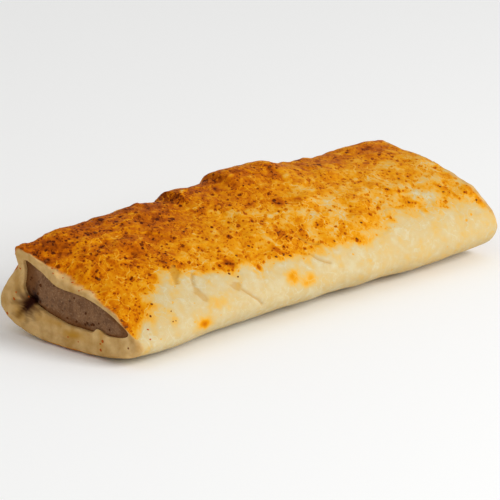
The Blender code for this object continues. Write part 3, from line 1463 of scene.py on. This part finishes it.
    patches: tuple[Patch, ...] = (
        Patch(-49.0, 53.0, 0.50, 2.6, 1.5),
        Patch(-11.3, 47.8, 0.36, 2.1, 2.9),
        Patch(-4.0, 49.0, 0.24, 1.7, 1.6),
        Patch(-6.8, 50.2, 0.20, 1.7, 1.5),
        Patch(-5.4, 49.8, 0.14, 4.0, 3.2),
        Patch(-41.5, 47.7, 0.20, 4.0, 2.6),
        Patch(-20.7, 40.7, 0.34, 1.0, 1.6),
        Patch(-29.1, 36.9, 0.34, 1.2, 2.2),
        Patch(-50.0, 49.8, 0.08, 4.0, 2.6),
        Patch(22.0, 44.0, 0.14, 3.4, 2.0),
        Patch(-4.6, 33.2, 0.18, 3.5, 2.2),
        Patch(-11.1, 37.9, 0.22, 2.0, 3.0),
        Patch(27.7, 32.4, 0.14, 5.0, 3.0),
        Patch(48.9, 33.9, 0.16, 1.5, 1.4),
        Patch(-51.1, 14.4, 0.16, 5.0, 3.5),
        Patch(-32.5, 10.0, 0.18, 4.0, 3.0),
        Patch(-46.8, 1.8, 0.14, 8.0, 2.5),
        Patch(-70.0, 7.0, 0.14, 7.0, 5.0),
        Patch(2.5, 16.5, 0.07, 4.5, 3.5),
        Patch(40.0, 4.7, 0.05, 6.0, 3.5),
        Patch(64.5, 4.3, 0.14, 6.0, 3.0),
        Patch(-1.0, 33.0, 0.14, 5.0, 2.5),
        Patch(-18.0, 2.0, 0.08, 6.0, 3.0),
        Patch(-10.0, 19.5, -0.14, 5.0, 2.5),
        Patch(-1.5, 22.5, -0.14, 5.0, 2.5),
        Patch(8.0, 28.0, -0.16, 8.0, 3.0),
        Patch(23.0, 26.0, -0.12, 6.0, 3.0),
        Patch(56.0, 34.0, -0.15, 5.0, 3.0),
        Patch(58.5, 15.0, -0.14, 5.0, 2.5),
    )
    wander: tuple[Bumps, ...] = (Bumps(0, 2.2, 8.0), Bumps(1, 1.7, 3.6), Bumps(5, 0.8, 1.7))
    lower_back: tuple[float, float] = (-16.0, -27.0)
    golden_blur: float = 2.8
    upper: tuple[float, float] = (8.0, 16.0)
    fold_sizes: tuple[tuple[float, float], ...] = ((9.0, 0.065), (6.0, 0.0585))
    fold_rise: float = 0.20
    crest_and_highlight: float = 0.14
    speckling_least: float = 0.012
    blister_count: int = 210
    seed: int = 7

    def __post_init__(self) -> None:
        """Draws the noises."""
        self.noise = [SolidNoise(self.seed + k) for k in range(8)]

    def build(self) -> bpy.types.Object:
        """Builds the crust's mesh.

        Returns:
            The crust as one closed mesh that carries its traits.
        """
        turns = self.form.even_turns(self.columns, self.sole_share)
        ends = (
            CutEnd(self.form, turns, self.near_lip, -1.0, self.face_stains, JUICE_SPOT),
            CutEnd(self.form, turns, self.far_lip, 1.0),
        )
        near, far = self.form.ends
        share = np.linspace(0.0, 1.0, self.rows)[:, None]
        x = (near + ends[0].start) * (1 - share) + (far - ends[1].start) * share
        smooth = self.form.surface(self.form.outer, x, turns)
        self.drape = drape_of(smooth)
        sheet = self._sheet(smooth)
        traits = self._traits(sheet, (x - x[0], x[-1] - x), ends)
        skin = smooth + normals_of(smooth) * sheet.relief[..., None]

        near_rows, far_rows = (end.rings(skin[row], self.noise) for end, row in zip(ends, (0, -1)))
        near_traits, far_traits = (
            end.traits(rows, {trait: values[row] for trait, values in traits.items()}, self.noise)
            for end, rows, row in zip(ends, (near_rows, far_rows), (0, -1))
        )
        bore, bore_traits = self._bore(turns)
        rings = np.concatenate([skin, far_rows, bore[::-1], near_rows[::-1]])
        for nudge in (MOUTH_NUDGE, *self.nudges):
            rings = nudge.moved(rings)
        rings[..., 2] = np.maximum(rings[..., 2], 0.0)
        whole = {
            trait: np.concatenate([
                traits[trait], far_traits[trait], bore_traits[trait][::-1], near_traits[trait][::-1]
            ])
            for trait in Trait
        }
        self.skin = rings[: self.rows]
        return mesh_from_rings("crust", rings, closed=True, traits=whole)

    def on_skin(self, along: float, drape: float) -> np.ndarray:
        """The point of the skin nearest to a place given by how far along and how far down it lies."""
        off = (self.skin[..., 0] - along) ** 2 + (self.drape - drape) ** 2
        return self.skin[np.unravel_index(off.argmin(), off.shape)]

    def _bore(self, turns: np.ndarray) -> tuple[np.ndarray, dict[Trait, np.ndarray]]:
        """The rings of the bore from the near end to the far one, and their traits.

        Args:
            turns: the angles of the points.

        Returns:
            The rings, and every trait.
        """
        near, far = self.form.ends
        x = np.linspace(near + self.bore_margin, far - self.bore_margin, self.bore_rows)[:, None]
        bore = self.form.surface(self.form.bore, np.repeat(x, self.columns, 1), turns)
        traits = {trait: np.full(bore.shape[:2], 1.0 if trait is Trait.DOUGH else 0.1) for trait in Trait}
        traits[Trait.TAN] = np.zeros(bore.shape[:2])
        traits[Trait.SCORCH] = JUICE_SPOT.stain(bore, self.noise[3]) * (x < 0.9 * near)
        return bore, traits

    def _sheet(self, skin: np.ndarray) -> SkinSheet:
        """Lays the skin out and adds every feature to it.

        Args:
            skin: the smooth skin's grid.

        Returns:
            The sheet.
        """
        x, z, drape = skin[..., 0], skin[..., 2], self.drape
        edge, dark = (np.interp(x, *np.array(line).T) for line in (self.golden_edge, self.dark_edge))
        wander = heaped(self.wander, self.noise, skin)
        bare_back = ease(*self.lower_back, drape + 1.2 * wander)
        bare_front = ease(-self.golden_blur, self.golden_blur, drape - edge + wander)
        egged = (1.0 - bare_front) * (1.0 - bare_back)
        browning = self.browning.over(skin, drape, egged, edge, drape - dark + 1.5 * wander, self.noise)
        relief = 0.42 * self.noise[6](skin, 13.0) + 0.22 * self.noise[7](skin, 5.5) * (0.4 + 0.6 * egged)
        relief += 0.07 * self.noise[5](skin, 1.7) + self._blisters(skin) * (0.25 + 0.75 * egged)
        sheet = SkinSheet(skin, drape, egged, browning, relief, self.noise)
        self._fold(sheet)
        features = (self.patches, self.ledges, self.creases_with_highlights, self.wrinkles, self.scars, self.cracks)
        for feature in itertools.chain(*features):
            feature.mark(sheet)
        sheet.relief *= ease(0.2, 3.0, z)
        return sheet

    def _fold(self, sheet: SkinSheet) -> None:
        """Adds the low folds of the top layer over the whole skin, each with a raised crest that is paler,
        partly its own colour and partly a painted highlight.

        Args:
            sheet: the skin, to which the folds are added.
        """
        skin, upper = sheet.points, ease(*self.upper, sheet.points[..., 2])
        crest = np.zeros_like(upper)
        for k, (size, width) in enumerate(self.fold_sizes):
            line = self.noise[k + 2](skin * np.array((0.75, 1.0, 1.0)), size)
            line += 0.18 * self.noise[k](skin, 2.4)
            shown = ease(0.0, 0.35, self.noise[k + 4](skin + 50.0, 12.0))
            crest = np.maximum(crest, hump(line, width) * shown)
            sheet.relief += self.fold_rise * ease(-0.04, 0.05, line) * shown * (0.45 + 0.55 * upper)
        crest *= (0.3 + 0.7 * upper) * (0.35 + 0.65 * sheet.egged)
        sheet.relief += self.crest_and_highlight * crest
        # Paler on the crests: the crest's own paler colour with a painted highlight.
        sheet.browning -= self.crest_and_highlight * crest * sheet.egged

    def _blisters(self, skin: np.ndarray) -> np.ndarray:
        """The height of the bubbles under the top layer of pastry, scattered over the whole skin.

        Args:
            skin: the smooth skin's grid.

        Returns:
            One height for every point.
        """
        rng = np.random.default_rng(self.seed)
        height = np.zeros(skin.shape[:2])
        for _ in range(self.blister_count):
            row, column = rng.integers(self.rows), rng.integers(self.columns)
            radius = rng.uniform(1.3, 4.4)
            stretch = np.array((rng.uniform(0.6, 1.0), 1.0, 1.0))
            rise = rng.uniform(0.05, 0.15) * radius
            gap = np.linalg.norm((skin - skin[row, column]) * stretch, axis=2) / radius
            height = np.maximum(height, rise * np.clip(1.0 - gap**2, 0.0, None) ** 1.2)
        return height

    def _traits(
        self, sheet: SkinSheet, to_end: Sequence[np.ndarray], ends: Sequence[CutEnd]
    ) -> dict[Trait, np.ndarray]:
        """The numbers for the finish on the skin.

        Args:
            sheet: the skin with its features.
            to_end: how far each point is from where the rounding of each cut end starts.
            ends: the cut ends.

        Returns:
            Every trait.
        """
        dough = np.zeros_like(sheet.along)
        for gap, end in zip(to_end, ends):
            dough = np.maximum(dough, bare_dough(-gap - end.golden, sheet.points, self.noise))
        clusters = 0.5 + 0.5 * ease(-0.35, 0.35, self.noise[6](sheet.points + 20.0, 6.0))
        speckling = (0.35 + 0.65 * ease(0.22, 0.50, sheet.browning)) * clusters * sheet.egged
        return {
            Trait.BROWNING: sheet.browning,
            Trait.SPECKLING: speckling + self.speckling_least,
            Trait.DOUGH: dough,
            Trait.TAN: sheet.tan,
            Trait.SCORCH: np.zeros_like(dough),
        }

    def dress(self, piece: bpy.types.Object, finish: BakedPuffPastry) -> None:
        """Gives the crust its finish and its place in the frame.

        Args:
            piece: the crust.
            finish: its finish.
        """
        piece.data.materials.append(finish.build())
        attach(piece, BODY)
        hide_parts(CRUST_NODE)


# ---------------------------------------------------------------------------------------------------------
# The meat


@dataclass
class SausageFilling:
    """The sausage meat: a bar that runs through the crust, pressed against it, with grainy cut faces.

    recess is how far a face's rim lies behind the crust's end, press is how far the meat is pressed into
    the crust, and bulge is how far a face's middle stands out. rust_height is how far the rusty stain
    reaches in from the rim, and rust_back is where towards the back it starts and is full.
    """

    form: RollForm
    rows: int = 14
    columns: int = 240
    face_rings: int = 44
    recess: float = 1.5
    press: float = 0.35
    bulge: float = 0.72
    swell: tuple[Bumps, ...] = (Bumps(0, 0.45, 6.0), Bumps(0, 0.26, 1.9), Bumps(0, 0.15, 0.9))
    rust_height: float = 4.5
    rust_back: tuple[float, float] = (10.5, 15.5)
    seed: int = 40

    def build(self) -> bpy.types.Object:
        """Builds the meat.

        Returns:
            The meat as one closed mesh.
        """
        noise = SolidNoise(self.seed)
        turns = self.form.even_turns(self.columns, 1.0)
        near, far = self.form.ends
        x = np.linspace(near + self.recess, far - self.recess, self.rows)[:, None]
        body = self.form.surface(self.form.bore, np.repeat(x, self.columns, 1), turns)
        out = (body - np.array((0.0, 0.0, self.form.middle_height))) * np.array((0.0, 1.0, 1.0))
        body += out / np.linalg.norm(out, axis=-1, keepdims=True) * self.press
        face = self._face(body[0], noise, -1.0)
        rings = np.concatenate([face[::-1], body[1:-1], self._face(body[-1], noise, 1.0)])
        rings = MOUTH_NUDGE.moved(rings)
        traits = {trait: np.zeros(rings.shape[:2]) for trait in (Trait.SCORCH, Trait.TAN)}
        shown = rings[: self.face_rings]
        to_rim = np.linalg.norm(face[0] - face[::-1], axis=2)
        traits[Trait.SCORCH][: self.face_rings] = JUICE_SPOT.stain(shown, noise)
        traits[Trait.TAN][: self.face_rings] = self._rust(shown, to_rim, noise)
        return mesh_from_rings("sausage_meat", rings, closed=False, traits=traits)

    def _rust(self, face: np.ndarray, to_rim: np.ndarray, noise: SolidNoise) -> np.ndarray:
        """How rusty the near face is.

        Args:
            face: the face's rings, from its middle outward.
            to_rim: how far each point is from the face's rim.
            noise: what makes the stain uneven.

        Returns:
            The stain, from 0 to 1.
        """
        below = ease(1.0, -1.5, face[..., 2] - face[0, 0, 2] + 0.1 * face[..., 1])
        along_rim = 0.95 * below * ease(self.rust_height, 0.0, to_rim + 1.2 * noise(face, 2.0))
        return np.maximum(along_rim, 0.85 * ease(*self.rust_back, face[..., 1] + 1.5 * noise(face, 3.0)))

    def _face(self, rim: np.ndarray, noise: SolidNoise, way: float) -> np.ndarray:
        """The rings of one cut face.

        Args:
            rim: the face's outermost ring.
            noise: what makes it grainy.
            way: -1 for the near face and 1 for the far one.

        Returns:
            The rings, from the rim to the middle.
        """
        centre = rim.mean(axis=0)
        shares = np.linspace(1.0, 0.012, self.face_rings)[:, None] ** 0.85
        rings = centre + (rim - centre) * shares[..., None]
        out = heaped(self.swell, (noise,), rings) + self.bulge * (1.0 - shares**2)
        pit = JUICE_SPOT.deep * JUICE_SPOT.pit(rings) if way < 0 else 0.0
        rings[..., 0] += way * (out * ease(1.0, 0.86, shares) - pit)
        return rings

    def dress(self, piece: bpy.types.Object, finish: CookedSausageMeat) -> None:
        """Gives the meat its finish and its place in the frame.

        Args:
            piece: the meat.
            finish: its finish.
        """
        piece.data.materials.append(finish.build())
        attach(piece, BODY)
        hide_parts(MEAT_NODE)


# ---------------------------------------------------------------------------------------------------------
# Flecks and crumbs


@dataclass
class Flecks:
    """Flecks of one kind, each an uneven little dome that is pressed into what it lies on.

    rise is a dome's height and sunk its depth, as shares of its radius. profile is its shape from the foot
    up, as shares of the radius and of the rise, and peak is how high its tip is, as a share of the rise.
    on_skin gives the places as (along, drape, radius), and on_end as (across, height, radius) on the near cut
    end, where ahead is how far in front of it the search for the surface starts.
    """

    name: str
    slot: str
    finish: BakedCrumb
    rise: float
    seed: int
    on_skin: tuple[tuple[float, float, float], ...] = ()
    on_end: tuple[tuple[float, float, float], ...] = ()
    sides: int = 10
    sunk: float = 0.3
    profile: tuple[tuple[float, float], ...] = ((1.0, -0.3), (0.93, 0.45), (0.55, 1.0))
    peak: float = 1.1
    ahead: float = 0.5

    def build(self, crust: PastryCrust, surface: bpy.types.Object) -> bpy.types.Object:
        """Builds all the flecks as one mesh.

        Args:
            crust: the crust, which knows where a place on the skin is.
            surface: the piece that the flecks lie on.

        Returns:
            The flecks.
        """
        rng = np.random.default_rng(self.seed)
        tree = surface_tree(surface.data)
        end = crust.form.ends[0] - self.ahead
        places = [(crust.on_skin(along, drape), radius) for along, drape, radius in self.on_skin]
        places += [((end, across, height), radius) for across, height, radius in self.on_end]
        vertices: list[Vector] = []
        faces: list[tuple[int, ...]] = []
        for place, radius in places:
            spot, normal = tree.find_nearest(Vector(place))[:2]
            faces += self._dome_faces(len(vertices))
            vertices += self._dome(rng, spot, normal, radius)
        mesh = bpy.data.meshes.new(self.name)
        mesh.from_pydata([vertex * MM for vertex in vertices], [], faces)
        mesh.shade_smooth()
        return linked(self.name, mesh)

    def _dome(self, rng: np.random.Generator, spot: Vector, normal: Vector, radius: float) -> list[Vector]:
        """The vertices of one closed dome.

        Args:
            rng: what makes the dome uneven.
            spot: the dome's middle on the surface.
            normal: the surface's direction there.
            radius: the dome's largest radius.

        Returns:
            Its rings from the foot up, then its lowest point and its highest.
        """
        side = normal.orthogonal().normalized()
        other = normal.cross(side)
        spin, narrow = rng.uniform(0.0, math.pi), rng.uniform(0.55, 0.95)
        reach = radius * rng.uniform(0.75, 1.15, self.sides)
        vertices = []
        for share, level in self.profile:
            for k in range(self.sides):
                turn = 2 * math.pi * k / self.sides
                u, v = reach[k] * share * math.cos(turn), reach[k] * share * math.sin(turn) * narrow
                across = side * (u * math.cos(spin) - v * math.sin(spin))
                across += other * (u * math.sin(spin) + v * math.cos(spin))
                vertices.append(spot + across + normal * (level * self.rise * radius))
        lowest = spot - normal * (self.sunk * radius)
        return [*vertices, lowest, spot + normal * (self.peak * self.rise * radius)]

    def _dome_faces(self, first: int) -> list[tuple[int, ...]]:
        """The faces of a dome whose vertices start at that number.

        Args:
            first: the number of the dome's first vertex.

        Returns:
            Each face as its vertices' numbers.
        """
        count = self.sides
        under, top = first + 3 * count, first + 3 * count + 1
        faces = []
        for k in range(count):
            following = (k + 1) % count
            for row in (first, first + count):
                faces.append((row + k, row + following, row + count + following, row + count + k))
            faces.append((under, first + following, first + k))
            faces.append((top, first + 2 * count + k, first + 2 * count + following))
        return faces

    def dress(self, piece: bpy.types.Object) -> None:
        """Gives the flecks their finish and their place in the frame.

        Args:
            piece: the flecks.
        """
        piece.data.materials.append(self.finish.build())
        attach(piece, BODY)


CHARRED_SPECKS = Flecks(
    "charred_specks", PASTRY_SLOT, BakedCrumb("charred_pastry_crumb", "#4a2009", "#8f4a10"), 0.30, 5,
    on_skin=CHARRED_PLACES,
    on_end=((-24.0, 5.9, 0.35),),
)
ORANGE_FLECKS = Flecks(
    "orange_flecks", PASTRY_SLOT, BakedCrumb("baked_orange_fat", "#9c3f0a", "#cf6a1c"), 0.25, 11,
    on_skin=(
        (-76.6, 12.1, 0.40), (-75.2, 16.5, 0.35), (-74.8, 20.0, 0.45), (-75.4, 24.5, 0.35),
        (-74.2, 28.0, 0.40),
        (-75.6, 31.6, 0.45), (-74.9, 35.0, 0.35), (-69.5, 47.8, 0.40), (-70.5, 51.0, 0.35),
    ),
    on_end=(
        (21.8, 10.8, 0.60), (24.9, 5.8, 0.60), (19.4, 20.4, 0.35), (-13.9, 5.7, 0.55), (-13.2, 5.0, 0.35),
        (-13.4, 3.3, 0.55), (-0.7, 4.3, 0.30), (-4.2, 3.6, 0.28), (20.9, 13.0, 0.35), (14.0, 14.6, 0.45),
        (-4.5, 20.2, 0.30), (5.5, 22.4, 0.30),
    ),
)
BURNT_CRUMBS = Flecks(
    "burnt_crumbs", MEAT_SLOT, BakedCrumb("burnt_meat_crumb", "#2a1005", "#6e3c14"), 0.28, 23,
    on_end=(
        (11.5, 16.6, 0.60), (15.2, 18.4, 0.45), (15.6, 17.2, 0.35), (-10.1, 9.8, 0.60), (-9.0, 9.3, 0.50),
        (-6.3, 9.2, 0.60), (-7.8, 9.8, 0.50), (-7.0, 12.7, 0.55), (-3.4, 9.3, 0.40), (0.4, 9.5, 0.40),
        (-12.3, 10.8, 0.35), (-1.8, 16.2, 0.45), (-16.5, 9.4, 0.40), (6.2, 17.8, 0.35), (3.0, 11.0, 0.30),
        (13.4, 13.9, 0.50), (14.6, 15.2, 0.35), (12.2, 12.4, 0.45),
    ),
)


# ---------------------------------------------------------------------------------------------------------
# The studio


@dataclass
class Studio:
    """A plain pale floor, soft light and the camera.

    The key lamp is a large soft one to the cook's right. The camera looks with a long lens at aim from an
    azimuth, counted from straight in front of the roll, and an elevation, both in degrees.
    """

    floor_size_m: float = 6.0
    floor: str = "#fbfbfa"
    sky: str = "#ffffff"
    sky_strength: float = 0.62
    key_watts: float = 9.9
    key_size_m: float = 0.55
    key_place_m: tuple[float, float, float] = (0.34, -0.99, 0.64)
    aim: tuple[float, float, float] = (-1.0, 0.4, 13.4)
    azimuth: float = -46.0
    elevation: float = 17.0
    distance_m: float = 1.6
    lens: float = 389.4

    def build(self) -> None:
        """Makes the floor, the sky, the lamp and the camera."""
        self._floor()
        self._sky()
        self._lamp()
        self._camera()
        bpy.context.scene.view_settings.view_transform = "Standard"

    def _floor(self) -> None:
        """The floor, which isn't part of the roll: matt white card, a hair below the sole."""
        half = self.floor_size_m / 2
        corners = [(-half, -half, 0), (half, -half, 0), (half, half, 0), (-half, half, 0)]
        mesh = bpy.data.meshes.new("floor")
        mesh.from_pydata(corners, [], [(0, 1, 2, 3)])
        floor = linked("floor", mesh)
        material, _, shader = Finish("matt_white_card").start()
        shader.inputs["Base Color"].default_value = linear(self.floor)
        shader.inputs["Roughness"].default_value = 0.9
        mesh.materials.append(material)
        floor.location.z = -0.02 * MM

    def _sky(self) -> None:
        """An even white sky."""
        world = bpy.data.worlds.new("studio")
        world.use_nodes = True
        background = world.node_tree.nodes["Background"]
        background.inputs["Color"].default_value = linear(self.sky)
        background.inputs["Strength"].default_value = self.sky_strength
        bpy.context.scene.world = world

    def _lamp(self) -> None:
        """The key lamp."""
        light = bpy.data.lights.new("key", "AREA")
        light.energy = self.key_watts
        light.size = self.key_size_m
        lamp = linked("key", light)
        lamp.location = self.key_place_m
        toward = Vector(self.aim) * MM - Vector(self.key_place_m)
        lamp.rotation_euler = toward.to_track_quat("-Z", "Y").to_euler()

    def _camera(self) -> None:
        """The camera, off the near end's front corner."""
        turn, rise = math.radians(self.azimuth), math.radians(self.elevation)
        back = Vector((math.sin(turn) * math.cos(rise), -math.cos(turn) * math.cos(rise), math.sin(rise)))
        data = bpy.data.cameras.new("camera")
        data.lens = self.lens
        data.sensor_width = 36.0
        data.clip_end = 20.0
        camera = linked("camera", data)
        camera.location = Vector(self.aim) * MM + back * self.distance_m
        camera.rotation_euler = back.to_track_quat("Z", "Y").to_euler()
        bpy.context.scene.camera = camera


def report(piece: bpy.types.Object) -> None:
    """Logs a piece's name and size."""
    log.info("%s: %d faces", piece.name, len(piece.data.polygons))


def main() -> None:
    """Builds the roll's pieces in order, then the studio."""
    logging.basicConfig(level=logging.INFO, format="%(name)s: %(message)s")
    form = RollForm()
    crust = PastryCrust(form)
    crust_piece = crust.build()
    crust.dress(crust_piece, BakedPuffPastry())
    report(crust_piece)
    meat = SausageFilling(form)
    meat_piece = meat.build()
    meat.dress(meat_piece, CookedSausageMeat())
    report(meat_piece)
    scattered = ((CHARRED_SPECKS, crust_piece), (ORANGE_FLECKS, crust_piece), (BURNT_CRUMBS, meat_piece))
    for flecks, surface in scattered:
        piece = flecks.build(crust, surface)
        flecks.dress(piece)
        report(piece)
    Studio().build()


if __name__ == "__main__":
    main()
